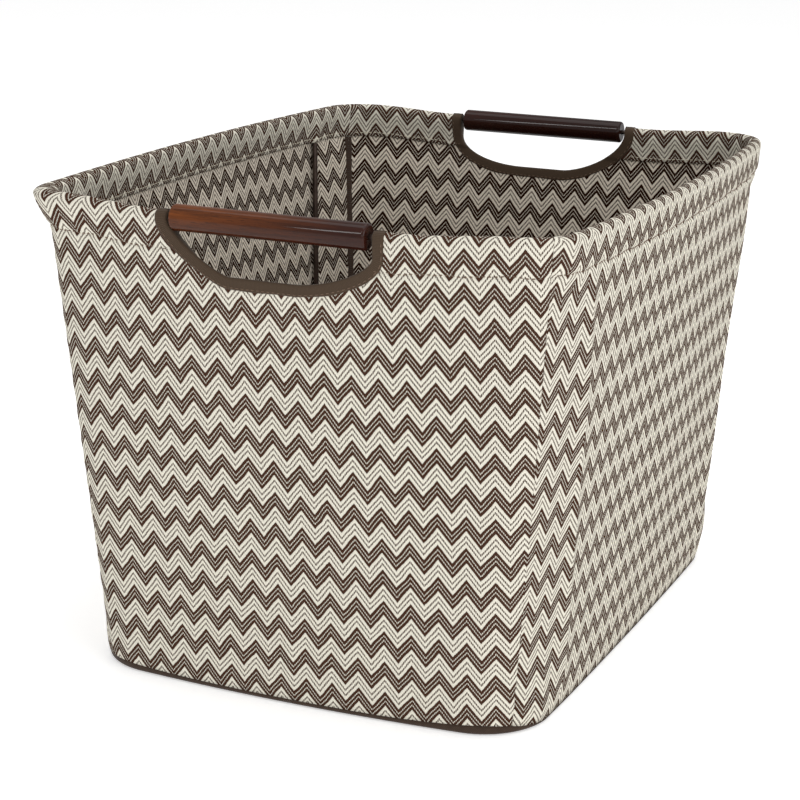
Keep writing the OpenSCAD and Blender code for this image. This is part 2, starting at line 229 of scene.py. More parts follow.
class Outline:
    """The bin's plan outline at any share of the rim's height, moved outwards by out."""

    def __init__(self, shape):
        self.shape = shape

    def numbers(self, share, out):
        p = self.shape
        half_x = mix(p.floor_width, p.rim_width, share) / 2 + out
        half_y = mix(p.floor_length, p.rim_length, share) / 2 + out
        corner = mix(p.floor_corner, p.rim_corner, share) + out
        end = mix(p.floor_end_bow, p.rim_end_bow, share)
        side = mix(p.floor_side_bow, p.rim_side_bow, share)
        straight = p.straight_half * share
        across = half_x - corner - straight
        along = half_y - corner
        det = np.sin(end) * np.sin(side) - (1 - np.cos(side)) * (1 - np.cos(end))
        more_end = (across * np.sin(side) - (1 - np.cos(side)) * along) / det
        more_side = (along * np.sin(end) - (1 - np.cos(end)) * across) / det
        return half_x, half_y, corner, end, side, straight, more_end, more_side

    def quarter(self, u, share, out):
        """Points of the front right quarter, as x and y."""
        half_x, half_y, corner, end, side, straight, more_end, more_side = self.numbers(share, out)
        reach = more_end + corner
        turn = end * np.clip(u - 1, 0, 1)
        x_end = np.where(u <= 1, straight * u, straight + reach * np.sin(turn))
        y_end = reach - half_y - reach * np.cos(turn)
        turn = mix(end - math.pi / 2, -side, np.clip(u - 2, 0, 1))
        x_bend = straight + more_end * np.sin(end) + corner * np.cos(turn)
        y_bend = corner + more_end * (1 - np.cos(end)) - half_y + corner * np.sin(turn)
        turn = -side * (4 - np.clip(u, 3, 4))
        reach = more_side + corner
        x_side = half_x - reach + reach * np.cos(turn)
        y_side = reach * np.sin(turn)
        x = np.where(u <= 2, x_end, np.where(u <= 3, x_bend, x_side))
        y = np.where(u <= 2, y_end, np.where(u <= 3, y_bend, y_side))
        return x, y

    def end_wall_y(self, x, share, out):
        """How far an end wall stands from the bin's middle at x."""
        _, half_y, corner, _, _, straight, more_end, _ = self.numbers(share, out)
        reach = more_end + corner
        past = np.clip(np.abs(x) - straight, 0, None)
        return half_y - (reach - np.sqrt(reach * reach - past * past))


class WallForm:
    """The wall's section and surface: how far each face stands out, with its folds and puckers."""

    def __init__(self, shape):
        self.shape = shape
        self.outline = Outline(shape)
        self.height = shape.rim_height
        self.radius = shape.hem_radius
        self.stitch_z = shape.rim_height - shape.hem_depth
        self.foot_z = self.stitch_z - 1.4 * MM

    def share(self, z):
        return np.clip(z / self.height, 0, 1)

    def over_crown(self, z, radius):
        return np.sqrt(np.clip(radius ** 2 - (z - self.height) ** 2, 0, None))

    def outer(self, z, proud=0.0):
        """The outer face's distance from the outline, without folds."""
        below = self.radius * self.share(z) + proud
        return np.where(z > self.height, self.over_crown(z, self.radius + proud), below)

    def hem_inner(self, z):
        """The inner face of the hem's folded layer."""
        foot = self.radius * self.share(self.foot_z) - 2 * self.shape.cloth - 0.3 * MM
        return mix(-self.radius, foot, smooth((self.height - z) / (self.shape.hem_depth + 1 * MM)))

    def inner(self, z, proud=0.0):
        """The inner face as one height field, hem and wall."""
        wall = self.outer(z) - self.shape.cloth
        below = mix(self.hem_inner(z), wall, smooth((self.foot_z + 0.5 * MM - z) / (2 * MM)))
        return np.where(z > self.height, -self.over_crown(z, self.radius + proud), below - proud)

    def lift(self, u, z):
        return self.shape.corner_lift * smooth(u - 1) * self.share(z)

    def base_line(self, u, sx, sy):
        """Height of the seam between the wall and the underside."""
        front = np.where(sy < 0, 1.0, 0.8)
        low = mix(3.5 * MM, 0.7 * MM, smooth(u - 2.3)) * front
        lens = np.where((sx > 0) & (sy < 0), 3.4 * MM, 1.8 * MM)
        return low + lens * bell(u - 2.2, 0.4)


class Wall:
    """One wall panel, from corner seam to corner seam."""

    def __init__(self, form, key):
        facts = WALLS[key]
        self.form = form
        self.key = key
        self.is_end = facts["end"]
        first, second = facts["quarters"]
        near_seam = np.array([0.0, 0.01, 0.022, 0.04, 0.065, 0.10])
        if self.is_end:
            half = np.concatenate([np.linspace(0, 1, 25)[:-1], np.linspace(1, 2, 20)[:-1],
                                   np.linspace(2, SEAM_U - 0.10, 8)[:-1], (SEAM_U - near_seam)[::-1]])
            self.u = np.concatenate([half[:0:-1], half])
        else:
            half = np.concatenate([SEAM_U + near_seam[:-1], np.linspace(SEAM_U + 0.10, 3, 9)[:-1],
                                   np.linspace(3, CREASE_U, 8)[:-1], np.linspace(CREASE_U, 4, 56)])
            self.u = np.concatenate([half, half[-2::-1]])
        self.middle = len(half) - 1
        is_first = np.arange(len(self.u)) < self.middle
        self.sx = np.where(is_first, first[0], second[0]).astype(float)
        self.sy = np.where(is_first, first[1], second[1]).astype(float)
        self.rim_arc = self.arc(np.array([form.height]))[:, 0]
        self.half_arc = self.rim_arc[-1]

    def plain(self, u, sx, sy, z, out):
        share = self.form.share(z)
        x, y = self.form.outline.quarter(u, share, out)
        return np.stack([sx * x, -sy * y, z + self.form.lift(u, z)], axis=-1)

    def arc(self, z):
        """Cloth distance from the wall's centre line at each station, one column a height."""
        z = np.broadcast_to(z[None, :], (len(self.u), len(z)))
        points = self.plain(self.u[:, None], self.sx[:, None], self.sy[:, None], z, self.form.outer(z))
        steps = np.linalg.norm(np.diff(points, axis=0), axis=2)
        run = np.concatenate([np.zeros((1, z.shape[1])), np.cumsum(steps, axis=0)])
        return run - run[self.middle]

    def to_seam(self, arc):
        """Cloth distance from the nearer corner seam, at the rim."""
        return np.abs(self.half_arc) - np.abs(arc)

    def crease_share(self, z):
        """How far the crease over an upright shows at height z: not at all near the rim."""
        return smooth((self.form.height - 13 * MM - z) / (22 * MM))

    def place(self, z, out, more):
        """Points of the wall at heights z, at distance out plus the fold's own more, with the
        flat strip between the corner seam and the upright."""
        u, sx, sy = self.u[:, None], self.sx[:, None], self.sy[:, None]
        points = self.plain(u, sx, sy, z, out + more)
        if self.is_end:
            return points
        base = self.plain(u, sx, sy, z, out)
        seam = self.plain(np.full_like(u, SEAM_U), sx, sy, z, out)
        crease = self.plain(np.full_like(u, CREASE_U), sx, sy, z, out)
        arc = np.linalg.norm(base - seam, axis=-1)
        part = np.clip(arc / np.linalg.norm(crease - seam, axis=-1), 0, 1)
        flat = seam + (crease - seam) * part[..., None]
        flat[..., 2] = base[..., 2]
        strength = 0.92 * self.crease_share(z) * smooth((z - 3 * MM) / (55 * MM)) * (u < CREASE_U)
        return points + (flat - base) * strength[..., None]

    def crease_distance(self):
        """Cloth distance of each station from the upright's crease, at the rim."""
        at = np.interp(CREASE_U, self.u[:self.middle + 1], -self.rim_arc[:self.middle + 1])
        return np.abs(self.rim_arc) - at

    def waves(self, z):
        """Soft unevenness of the whole cloth, still at the rim, the seams and the notches."""
        arc = self.rim_arc[:, None]
        turn = WAVE_TURNS[self.key]
        wave = (np.sin(arc / 0.031 + 1.3 * np.sin(z / 0.055 + turn) + turn)
                + 0.7 * np.sin(arc / 0.055 - z / 0.047 + 2.1 * turn)
                + 0.5 * np.sin(z / 0.024 + arc / 0.09 + turn))
        still = smooth((self.form.stitch_z - 14 * MM - z) / (30 * MM))
        still = still * smooth(self.to_seam(arc) / (30 * MM)) * smooth(z / (40 * MM))
        return 0.42 * MM * wave * still

    def stitch_wave(self, arc):
        """The hem's stitch line wanders a little."""
        return 0.45 * MM * np.sin(arc / (7.1 * MM)) + 0.35 * MM * np.sin(arc / (2.9 * MM) + 1.0)

    def outer_folds(self, z):
        """How far folds, puckers, grooves and seams move the outer face."""
        arc = self.rim_arc[:, None]
        seam = self.to_seam(arc)
        groove_z = self.form.stitch_z + self.stitch_wave(arc)
        more = self.waves(z)
        more = more - 0.95 * MM * bell(z - groove_z, 1.5 * MM)
        pucker = np.sin(arc / (2.3 * MM) + 1.5 * np.sin(arc / (9 * MM)))
        more = more + 0.20 * MM * pucker * bell(z - groove_z, 5 * MM)
        more = more + 0.32 * MM * np.sin(arc / (6.4 * MM) + 0.8) * bell(z - groove_z + 4 * MM, 12 * MM)
        below_rim = smooth((self.form.height + 6 * MM - z) / (8 * MM))
        more = more - mix(0.4 * MM, 0.9 * MM, below_rim) * np.exp(-seam / (1.6 * MM))
        ripple = np.sin(z / (2.6 * MM) + 1.2 * np.sin(z / (11 * MM)))
        more = more + 0.28 * MM * ripple * np.exp(-seam / (6 * MM)) * (z < self.form.stitch_z)
        more = more + self.upright_push(z)
        more = more - 1.1 * MM * smooth((9 * MM - z) / (9 * MM))
        return more + self.corner_flare(z) + self.corner_belly(z)

    def corner_belly(self, z):
        """The cloth swells a little round the foot of the back right corner."""
        near = bell(self.u - 2.6, 0.9) * ((self.sx > 0) & (self.sy > 0))
        foot, fade = smooth((z - 2 * MM) / (30 * MM)), smooth((250 * MM - z) / (200 * MM))
        return 4.2 * MM * near[:, None] * foot * fade

    def upright_push(self, z):
        """Each upright pushes the cloth of a side wall out along its crease."""
        if self.is_end:
            return 0 * z
        distance = np.abs(self.crease_distance())[:, None]
        return 1.3 * MM * np.exp(-distance / (7 * MM)) * self.crease_share(z) * smooth(z / (30 * MM))

    def corner_flare(self, z):
        """The hem stands out at the front left corner."""
        near = (self.sx < 0) & (self.sy < 0)
        round_corner = bell(self.u - 2.35, 0.75) * near
        high = smooth((z - self.form.stitch_z + 6 * MM) / (26 * MM))
        return 8.0 * MM * round_corner[:, None] * high

    def hem_bulge(self, z):
        """The hem's inner layer passes over the head of each upright."""
        if self.is_end:
            return 0 * z
        distance = self.crease_distance()[:, None]
        low = smooth((self.form.height - z) / (self.form.shape.hem_depth))
        return -4.4 * MM * bell(distance, 5.5 * MM) * low


def new_object(name, mesh, body="bin", replaced=()):
    """Links a mesh as a piece that rides on a body."""
    piece = bpy.data.objects.new(name, mesh)
    bpy.context.scene.collection.objects.link(piece)
    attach(piece, body)
    if replaced:
        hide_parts(*replaced)
    return piece


def smooth_mesh(name, points, faces):
    mesh = bpy.data.meshes.new(name)
    mesh.from_pydata(points.reshape(-1, 3).tolist(), [], faces)
    shade_smooth(mesh)
    return mesh


def shade_smooth(mesh):
    mesh.polygons.foreach_set("use_smooth", np.ones(len(mesh.polygons), bool))


def grid_mesh(name, points, uv=None, wrap_across=False, wrap_down=True, finish_down=None,
              uv_name="Cloth"):
    """A mesh from a grid of points, with the section running down the second index. Its two
    ends are capped unless it wraps."""
    across, down = points.shape[:2]
    columns = np.arange(across if wrap_across else across - 1)
    rows = np.arange(down if wrap_down else down - 1)
    i, j = np.meshgrid(columns, rows, indexing="ij")
    i, j = i.ravel(), j.ravel()
    i2, j2 = (i + 1) % across, (j + 1) % down
    quads = np.stack([i * down + j, i2 * down + j, i2 * down + j2, i * down + j2], axis=1)
    faces = quads.tolist()
    if not wrap_across:
        faces.append(list(range(down)))
        faces.append([(across - 1) * down + k for k in range(down)][::-1])
    mesh = smooth_mesh(name, points, faces)
    if uv is not None:
        layer = mesh.uv_layers.new(name=uv_name)
        corner_vertex = np.zeros(len(mesh.loops), np.int32)
        mesh.loops.foreach_get("vertex_index", corner_vertex)
        layer.data.foreach_set("uv", uv.reshape(-1, 2)[corner_vertex].astype(np.float32).ravel())
    if finish_down is not None:
        slots = np.zeros(len(mesh.polygons), np.int32)
        slots[:len(quads)] = np.asarray(finish_down)[j]
        mesh.polygons.foreach_set("material_index", slots)
    face_outwards(mesh)
    return mesh


def face_outwards(mesh, fills=None):
    """Turns every face outwards, once the open edges that fills picks are closed."""
    form = bmesh.new()
    form.from_mesh(mesh)
    if fills is not None:
        bmesh.ops.holes_fill(form, edges=[e for e in form.edges if e.is_boundary and fills(e)])
    bmesh.ops.recalc_face_normals(form, faces=form.faces)
    form.to_mesh(mesh)
    form.free()
    mesh.update()


def stitch_mesh(name, starts, ends, outward, radius, rise=0.25 * MM, sink=0.35 * MM, rings=7):
    """Many thread stitches as one mesh: each arches out of the cloth and dips back in."""
    sides = 6
    run = np.linspace(0, 1, rings)
    arch = np.sin(np.pi * run)
    centre = starts[:, None] + (ends - starts)[:, None] * run[None, :, None]
    centre = centre + outward[:, None] * (arch * (rise + sink) - sink)[None, :, None]
    along = np.gradient(centre, axis=1)
    along /= np.linalg.norm(along, axis=2, keepdims=True)
    across = np.cross(along, outward[:, None])
    across /= np.linalg.norm(across, axis=2, keepdims=True)
    up = np.cross(across, along)
    turn = 2 * np.pi * np.arange(sides) / sides
    thick = radius * np.sqrt(np.clip(arch * 1.3 + 0.12, 0, 1))
    ring = (across[:, :, None] * np.cos(turn)[None, None, :, None]
            + up[:, :, None] * np.sin(turn)[None, None, :, None])
    points = centre[:, :, None] + ring * thick[None, :, None, None]
    count = len(starts)
    block = rings * sides
    k, j = np.meshgrid(np.arange(rings - 1), np.arange(sides), indexing="ij")
    k, j = k.ravel(), j.ravel()
    j2 = (j + 1) % sides
    one = np.stack([k * sides + j, k * sides + j2, (k + 1) * sides + j2, (k + 1) * sides + j], axis=1)
    faces = (one[None] + block * np.arange(count)[:, None, None]).reshape(-1, 4).tolist()
    for n in range(count):
        faces.append([n * block + m for m in range(sides)][::-1])
        faces.append([n * block + (rings - 1) * sides + m for m in range(sides)])
    mesh = smooth_mesh(name, points, faces)
    face_outwards(mesh)
    return mesh


def run_along(points):
    """Length along a line of points, at each of them."""
    return np.concatenate([[0], np.cumsum(np.linalg.norm(np.diff(points, axis=0), axis=1))])


def read_along(run, values, places):
    """Rows of values, given at the lengths run, read at other lengths."""
    return np.stack([np.interp(places, run, values[:, k]) for k in range(values.shape[1])], axis=1)


# ---- Finishes -----------------------------------------------------------------------------

class Finish:
    """A material under construction, with short ways to add nodes."""

    def __init__(self, name):
        self.material = bpy.data.materials.new(name)
        self.material.use_nodes = True
        self.nodes = self.material.node_tree.nodes
        self.links = self.material.node_tree.links
        self.shader = self.nodes["Principled BSDF"]

    def node(self, kind, **settings):
        made = self.nodes.new(kind)
        for key, value in settings.items():
            setattr(made, key, value)
        return made

    def put(self, value, socket):
        if isinstance(value, bpy.types.NodeSocket):
            self.links.new(value, socket)
        else:
            socket.default_value = value

    def math(self, operation, first, second=None, third=None, clamp=False):
        made = self.node("ShaderNodeMath", operation=operation, use_clamp=clamp)
        for value, socket in zip((first, second, third), made.inputs):
            if value is not None:
                self.put(value, socket)
        return made.outputs[0]

    def blend(self, share, first, second, way="MIX"):
        """Mixes two colours: the colour sockets of the mix node are 6 and 7 in, 2 out."""
        made = self.node("ShaderNodeMix", data_type="RGBA", blend_type=way)
        self.put(share, made.inputs["Factor"])
        for value, socket in ((first, made.inputs[6]), (second, made.inputs[7])):
            if isinstance(value, bpy.types.NodeSocket):
                self.links.new(value, socket)
            else:
                socket.default_value = (*value, 1.0)
        return made.outputs[2]

    def noise(self, scale, detail=2.0, where=None, roughness=0.5):
        made = self.node("ShaderNodeTexNoise")
        made.inputs["Scale"].default_value = scale
        made.inputs["Detail"].default_value = detail
        made.inputs["Roughness"].default_value = roughness
        if where is not None:
            self.links.new(where, made.inputs["Vector"])
        return made.outputs["Fac"]

    def place(self):
        return self.node("ShaderNodeTexCoord").outputs["Object"]

    def cloth_place(self, uv_name="Cloth"):
        """The place on the cloth, whole and as its length across and down."""
        made = self.node("ShaderNodeUVMap", uv_map=uv_name)
        apart = self.node("ShaderNodeSeparateXYZ")
        self.links.new(made.outputs[0], apart.inputs[0])
        return made.outputs[0], apart.outputs[0], apart.outputs[1]

    def stretch(self, where, scale):
        made = self.node("ShaderNodeMapping")
        made.inputs["Scale"].default_value = scale
        self.links.new(where, made.inputs["Vector"])
        return made.outputs[0]

    def relief(self, height, strength, distance):
        made = self.node("ShaderNodeBump")
        made.inputs["Strength"].default_value = strength
        made.inputs["Distance"].default_value = distance
        self.links.new(height, made.inputs["Height"])
        self.links.new(made.outputs[0], self.shader.inputs["Normal"])

    def set(self, **values):
        names = {"colour": "Base Color", "roughness": "Roughness", "sheen": "Sheen Weight",
                 "sheen_roughness": "Sheen Roughness", "coat": "Coat Weight",
                 "coat_roughness": "Coat Roughness", "metallic": "Metallic",
                 "specular": "Specular IOR Level"}
        for key, value in values.items():
            socket = self.shader.inputs[names[key]]
            if key == "colour" and not isinstance(value, bpy.types.NodeSocket):
                value = (*value, 1.0)
            self.put(value, socket)
        return self.material


def zigzag_finish(name, cloth, light_shade_tint, dark_shade_tint):
    """Woven zigzag: bands of three yarn lines, split by fine dotted lines of the other colour."""
    f = Finish(name)
    where, across, down = f.cloth_place()
    wander = f.math("MULTIPLY", f.math("SUBTRACT", f.noise(70.0, 3.0, where), 0.5), 1.5 * MM)
    jitter = f.math("MULTIPLY", f.math("SUBTRACT", f.noise(900.0, 1.0, where), 0.5), 0.7 * MM)
    column = f.math("DIVIDE", f.math("ADD", across, wander), cloth.zigzag_width)
    zig = f.math("MULTIPLY", f.math("PINGPONG", column, 0.5), 2 * cloth.zigzag_rise)
    row = f.math("DIVIDE", f.math("ADD", f.math("ADD", down, jitter), wander), cloth.zigzag_repeat)
    run = f.math("FRACT", f.math("ADD", row, zig))
    is_dark = f.math("LESS_THAN", run, cloth.dark_share)
    in_dark = f.math("DIVIDE", run, cloth.dark_share)
    past_dark = f.math("SUBTRACT", run, cloth.dark_share)
    in_light = f.math("DIVIDE", past_dark, 1 - cloth.dark_share)
    band = f.math("ADD", f.math("MULTIPLY", in_dark, is_dark),
                  f.math("MULTIPLY", in_light, f.math("SUBTRACT", 1.0, is_dark)))
    # Three lines a band: fine lines lie a third and two thirds of the way
    from_middle = f.math("PINGPONG", f.math("SUBTRACT", band, 0.5), 1.0)
    from_fine = f.math("ABSOLUTE", f.math("SUBTRACT", from_middle, 1 / 6))
    reach = f.math("MULTIPLY_ADD", is_dark, -0.3 * cloth.fine_line / 2, cloth.fine_line / 2)
    fine = f.math("LESS_THAN", from_fine, reach)
    dots = f.math("FRACT", f.math("DIVIDE", across, YARN_PITCH))
    dotted = f.math("MULTIPLY", fine, f.math("LESS_THAN", dots, 0.70))
    yarn = f.math("ABSOLUTE", f.math("SUBTRACT", is_dark, dotted))
    # The tints make a darker copy of the cloth: painted shade on the inner face.
    light_yarn = [c * tint for c, tint in zip(cloth.light_yarn, light_shade_tint)]
    dark_yarn = [c * tint for c, tint in zip(cloth.dark_yarn, dark_shade_tint)]
    light = f.blend(f.noise(1500.0, 2.0, where), [c * 0.80 for c in light_yarn],
                    [min(c * 1.14, 1.0) for c in light_yarn])
    dark = f.blend(f.noise(1100.0, 2.0, where), [c * 0.6 for c in dark_yarn],
                   [c * 1.5 for c in dark_yarn])
    # Painted shade: each yarn line is darker at its edges, and darker again in the gaps between twist
    # strokes.
    line = f.math("SINE", f.math("MULTIPLY", f.math("FRACT", f.math("MULTIPLY", band, 3.0)), math.pi))
    twist = f.math("SINE", f.math("MULTIPLY", f.math("ADD", across, f.math("MULTIPLY", down, 0.5)),
                                  2 * math.pi / YARN_PITCH))
    shaded = f.math("MULTIPLY_ADD", f.math("POWER", line, 0.7), 0.24, 0.80)
    shaded = f.math("MULTIPLY_ADD", twist, 0.10, f.math("SUBTRACT", shaded, 0.02))
    tone = f.node("ShaderNodeCombineColor")
    for socket in tone.inputs[:3]:
        f.links.new(shaded, socket)
    woven = f.blend(1.0, f.blend(yarn, light, dark), tone.outputs[0], "MULTIPLY")
    height = f.math("ADD", line, f.math("MULTIPLY", twist, 0.25))
    f.relief(height, 0.55, 0.35 * MM)
    return f.set(colour=woven, roughness=0.95, sheen=0.0, specular=0.0)


def plain_cloth_finish(name, base):
    """Plain woven cloth with an over-and-under weave."""
    f = Finish(name)
    where = f.place()
    bands = f.node("ShaderNodeTexWave", wave_type="BANDS", bands_direction="DIAGONAL")
    bands.inputs["Scale"].default_value = 0.3 / WEAVE_PITCH
    bands.inputs["Distortion"].default_value = 1.2
    f.links.new(where, bands.inputs["Vector"])
    weave = bands.outputs["Fac"]
    tone = f.math("MULTIPLY", f.noise(260.0, 4.0, where), 0.5)
    shade = f.math("ADD", f.math("MULTIPLY", weave, 0.5), tone)
    f.relief(weave, 0.5, 0.25 * MM)
    return f.set(colour=f.blend(shade, [c * 0.55 for c in base], [c * 1.5 for c in base]),
                 roughness=0.93, sheen=0.15, sheen_roughness=0.5, specular=0.2)


def tape_finish(name, base):
    """Ribbed tape: fine cross ribs that follow its length."""
    f = Finish(name)
    where, along, across = f.cloth_place("Tape")
    ribs = f.math("SINE", f.math("MULTIPLY", along, 2 * math.pi / TAPE_RIB))
    rib = f.math("MULTIPLY_ADD", ribs, 0.5, 0.5)
    speck = f.noise(1300.0, 2.0, where)
    shade = f.math("ADD", f.math("MULTIPLY", rib, 0.45), f.math("MULTIPLY", speck, 0.55))
    f.relief(f.math("ADD", rib, f.math("MULTIPLY", speck, 0.4)), 0.5, 0.2 * MM)
    return f.set(colour=f.blend(shade, [c * 0.6 for c in base], [c * 1.45 for c in base]),
                 roughness=0.85, sheen=0.2, sheen_roughness=0.4, specular=0.25)


def thread_finish(name, base):
    """Twisted thread."""
    f = Finish(name)
    where = f.place()
    ply = f.node("ShaderNodeTexWave", wave_type="BANDS", bands_direction="DIAGONAL")
    ply.inputs["Scale"].default_value = 900.0
    f.links.new(where, ply.inputs["Vector"])
    f.relief(ply.outputs["Fac"], 0.4, 0.1 * MM)
    twisted = f.blend(ply.outputs["Fac"], [c * 0.7 for c in base], [min(c * 1.25, 1) for c in base])
    return f.set(colour=twisted, roughness=0.7, sheen=0.1, specular=0.3)


def wood_finish(name, pale, base, grain):
    """Stained hardwood with long grain under gloss varnish. Painted light makes it paler along the
    top and towards the left end."""
    f = Finish(name)
    where = f.stretch(f.place(), (2.2, 34.0, 34.0))
    figure = f.noise(7.0, 6.0, where, 0.62)
    pores = f.noise(55.0, 3.0, where, 0.6)
    drift = f.noise(9.0, 2.0, f.place())
    share = f.math("ADD", f.math("MULTIPLY", figure, 1.5),
                   f.math("MULTIPLY_ADD", drift, 0.5, -0.55), clamp=True)
    apart = f.node("ShaderNodeSeparateXYZ")
    f.links.new(f.place(), apart.inputs[0])
    # Painted light: paler towards the left end and along the top, where light falls on the grip.
    lit_to_end = f.math("MULTIPLY_ADD", apart.outputs[0], -9.5, 0.42, clamp=True)
    above_wire = f.math("SUBTRACT", apart.outputs[2], WIRE_HIGH.z - 1.5 * MM)
    lit_to_top = f.math("MULTIPLY_ADD", above_wire, 95.0, 0.55, clamp=True)
    painted_light_share = f.math("MULTIPLY", lit_to_end, f.math("MULTIPLY_ADD", lit_to_top, 0.75, 0.25))
    streaks = f.blend(share, grain, f.blend(painted_light_share, base, pale))
    fine = f.math("GREATER_THAN", pores, 0.61)
    f.relief(pores, 0.06, 0.1 * MM)
    return f.set(colour=f.blend(f.math("MULTIPLY", fine, 0.5), streaks, [c * 0.6 for c in grain]),
                 roughness=0.4, coat=0.5, coat_roughness=0.04, specular=0.0)


def wire_finish(name, base):
    """Dark bronze coating over steel, a little scuffed and uneven."""
    f = Finish(name)
    where = f.place()
    wear = f.noise(160.0, 4.0, where)
    f.relief(f.noise(900.0, 2.0, where), 0.08, 0.1 * MM)
    f.set(colour=f.blend(wear, [c * 0.7 for c in base], [c * 2.2 for c in base]), metallic=0.85)
    gloss = f.math("MULTIPLY_ADD", wear, 0.22, 0.20)
    return f.set(roughness=gloss, coat=0.3, coat_roughness=0.15)


def board_finish(name, base):
    """Stiff grey board of pressed fibre."""
    f = Finish(name)
    where = f.place()
    fibre = f.noise(700.0, 5.0, where, 0.7)
    f.relief(fibre, 0.2, 0.2 * MM)
    return f.set(colour=f.blend(fibre, [c * 0.75 for c in base], [c * 1.15 for c in base]),
                 roughness=0.9)


FINISHES = {}


def finish(name):
    """One of the bin's finishes, made when it is first asked for."""
    if name not in FINISHES:
        cloth = bpy.context.scene.bin_cloth
        hardware = bpy.context.scene.bin_hardware
        make = {
            "zigzag_cloth": lambda: zigzag_finish(name, cloth, (1, 1, 1), (1, 1, 1)),
            # The reverse finish is the zigzag cloth darkened as painted shade.
            "zigzag_cloth_reverse_shaded": lambda: zigzag_finish(
                name, cloth, cloth.reverse_shade_tint, cloth.reverse_dark_shade_tint),
            "ribbed_tape": lambda: tape_finish(name, cloth.tape),
            "brown_thread": lambda: thread_finish(name, cloth.thread),
            "light_thread": lambda: thread_finish(name, cloth.light_thread),
            "overcast_thread": lambda: thread_finish(name, cloth.overcast),
            "brown_cloth": lambda: plain_cloth_finish(name, cloth.underside),
            "stained_hardwood": lambda: wood_finish(
                name, hardware.wood_lit, hardware.wood, hardware.wood_grain),
            # The back grip's wood is the same wood darkened: painted shade.
            "stained_hardwood_painted_shade": lambda: wood_finish(
                name, hardware.wood, hardware.wood_painted_shade, hardware.wood_grain),
            "bronze_wire": lambda: wire_finish(name, hardware.wire),
            "pressed_board": lambda: board_finish(name, hardware.board),
        }
        FINISHES[name] = make[name]()
    return FINISHES[name]


# ---- Pieces -------------------------------------------------------------------------------

def wall_rows(wall):
    """The wall's section in five parts, from the foot up outside and down inside. Each has its
    rows' heights, distances from the outline, folds, cloth lengths down, and finish: 0 for the
    cloth's face, 1 for its reverse, which is darkened as painted shade."""
    form = wall.form
    height, radius, cloth = form.height, form.radius, form.shape.cloth
    stitch, foot = form.stitch_z, form.foot_z
    below = np.concatenate([np.linspace(8 * MM, stitch - 8 * MM, 78),
                            stitch - np.array([6, 4.6, 3.4, 2.4, 1.6, 0.9, 0.3]) * MM])
    hem = stitch + np.array([0.3, 0.9, 1.6, 2.4, 3.4, 5, 7, 9, 11, 13, 15, 17]) * MM
    outer_z = np.concatenate([below, hem, [height]])
    turns = np.radians(np.linspace(18, 162, 9))
    crown_z = height + radius * np.sin(turns)
    inner_hem_z = height - np.array([0, 2, 4, 6, 8, 10, 12, 14, 16, 17.5, 18.7, 19.5]) * MM
    inner_wall_z = np.concatenate([foot - np.array([0.2, 1.5, 4.0]) * MM,
                                   np.linspace(foot - 8 * MM, 5 * MM, 60)])
    u, sx, sy = wall.u[:, None], wall.sx[:, None], wall.sy[:, None]
    count = len(wall.u)

    def spread(values):
        return np.broadcast_to(values[None, :], (count, len(values))).copy()

    base = form.base_line(u, sx, sy)
    crown_length = math.pi / 2 * radius
    parts = []
    z = np.concatenate([base, spread(outer_z)], axis=1)
    parts.append((z, form.outer(z), wall.outer_folds(z), crown_length + (height - z) * WALL_SLOPE, 0))
    z = spread(crown_z)
    out = np.broadcast_to((radius * np.cos(turns))[None, :], z.shape)
    flare = wall.corner_flare(z) * ((1 + np.cos(turns)) / 2)[None, :]
    seam = wall.to_seam(wall.rim_arc[:, None])
    pinch = -0.5 * MM * np.exp(-seam / (1.9 * MM)) * np.cos(turns)[None, :]
    down = np.broadcast_to((crown_length - radius * turns)[None, :], z.shape)
    parts.append((z, out, flare + pinch, down, 0))
    z = spread(inner_hem_z)
    parts.append((z, form.hem_inner(z), wall.hem_bulge(z), -crown_length - (height - z), 0))
    z = spread(np.array([foot - 0.4 * MM, foot - 0.5 * MM]))
    out = form.hem_inner(z) + np.array([[0.5 * MM, 1.1 * MM]])
    parts.append((z, out, wall.hem_bulge(z), -crown_length - (height - z), 0))
    z = np.concatenate([spread(inner_wall_z), base + 1.5 * MM], axis=1)
    inside = wall.waves(z) + wall.upright_push(z) + wall.corner_belly(z)
    parts.append((z, form.outer(z) - cloth, inside, crown_length + (height - z) * WALL_SLOPE, 1))
    return parts


def notch_line(shape, notch, grow=0.0):
    """The notch's edge from the left side's top, down and up to the right side's top, as x and z
    seen from outside, with x from the notch's middle."""
    half = shape.notch_half + grow
    depth = notch["depth"] + grow
    turns = np.radians(np.linspace(0, 90, 46))

    def corner(facts):
        drop, wide, full = facts
        flat = shape.notch_half - wide
        return np.stack([flat + (wide + grow) * np.cos(turns) ** (1 / full),
                         -drop - (depth - drop) * np.sin(turns) ** (1 / full)], axis=1)

    left, right = corner(notch["left"]), corner(notch["right"])
    left[:, 0] *= -1
    top = shape.hem_radius + shape.tape_thick
    start = np.array([[-half, top]])
    end = np.array([[half, top]])
    return np.concatenate([start, left, right[::-1], end])


def even_line(points, pitch):
    """The same line with even steps, and the length along it at each."""
    run = run_along(points)
    places = np.linspace(0, run[-1], int(run[-1] / pitch) + 1)
    return read_along(run, points, places), places


